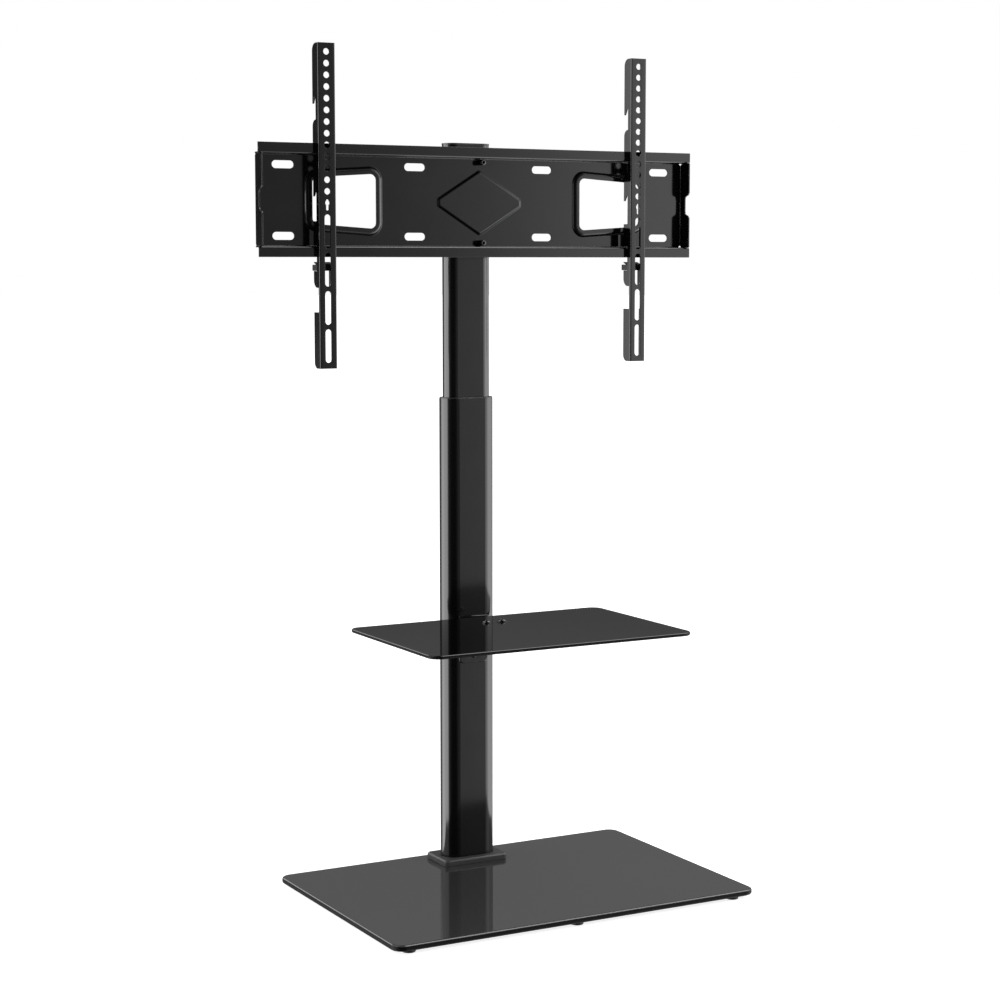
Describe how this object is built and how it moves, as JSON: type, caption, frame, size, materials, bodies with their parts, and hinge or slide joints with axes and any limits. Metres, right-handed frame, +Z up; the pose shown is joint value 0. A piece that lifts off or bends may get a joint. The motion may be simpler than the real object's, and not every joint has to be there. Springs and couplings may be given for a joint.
{
  "type": "tv stand with mount",
  "caption": "Pedestal stand for a flat screen: glass floor plate, height-adjustable column, glass shelf and a swivelling mounting plate with sliding hook-on arms.",
  "frame": {"origin": "on the floor, at the middle of the stand's footprint", "axes": "+Z up, -Y to the front (the side the screen hangs on), +X to the viewer's right when seen from the front"},
  "size_m": [0.6646, 0.3726, 1.1439],
  "materials": {
    "floor_glass": "polished black toughened glass, opaque",
    "shelf_glass": "polished black toughened glass, opaque",
    "black_powder": "semi-gloss black powder coat on steel",
    "black_plastic": "moulded black plastic",
    "black_rubber": "black rubber",
    "zinc": "zinc-plated steel",
    "black_screw": "black-oxide steel"
  },
  "bodies": {
    "stand": {"base_glass": "floor_glass", "base_feet": "black_rubber", "base_under_plate": "black_powder", "base_gasket_lower": "black_rubber", "base_gasket_upper": "black_rubber", "base_bolts": "zinc", "column_foot": "black_powder", "base_collar": "black_plastic", "lower_tube": "black_powder", "tube_liner": "black_plastic", "lock_bosses": "black_powder", "lock_screws": "black_screw", "shelf_glass": "shelf_glass", "shelf_bracket": "black_powder", "shelf_rivet_nuts": "zinc", "shelf_bracket_screws": "black_screw", "shelf_pad": "black_rubber", "shelf_screws": "black_screw", "shelf_washers": "black_screw", "shelf_nuts": "zinc"},
    "mast": {"upper_tube": "black_powder", "mast_glide": "black_plastic", "mast_cap": "black_plastic", "column_bracket": "black_powder", "mast_rivet_nuts": "zinc", "column_bracket_screws": "black_screw"},
    "head": {"plate_bracket": "black_powder", "pivot_bolt": "zinc", "pivot_washers": "black_plastic", "pivot_nut": "zinc", "tv_plate": "black_powder", "plate_screws": "black_screw", "plate_nuts": "zinc"},
    "left_arm_body": {"left_arm": "black_powder"},
    "right_arm_body": {"right_arm": "black_powder"},
    "left_latch_body": {"left_latch": "black_plastic"},
    "right_latch_body": {"right_latch": "black_plastic"}
  },
  "joints": [
    {"name": "column_height", "type": "slide", "parent": "stand", "child": "mast", "axis": [0, 0, 1], "range_m": [-0.06, 0.1]},
    {"name": "swivel", "type": "hinge", "parent": "mast", "child": "head", "pos_m": [0, 0.11515, 0.9411], "axis": [0, 0, 1], "range_deg": [-30, 30]},
    {"name": "left_arm_slide", "type": "slide", "parent": "head", "child": "left_arm_body", "axis": [1, 0, 0], "range_m": [-0.076, 0.203]},
    {"name": "right_arm_slide", "type": "slide", "parent": "head", "child": "right_arm_body", "axis": [1, 0, 0], "range_m": [-0.203, 0.076]},
    {"name": "left_latch_slide", "type": "slide", "parent": "left_arm_body", "child": "left_latch_body", "axis": [0, 0, 1], "range_m": [0, 0.0095]},
    {"name": "right_latch_slide", "type": "slide", "parent": "right_arm_body", "child": "right_latch_body", "axis": [0, 0, 1], "range_m": [0, 0.0095]}
  ]
}
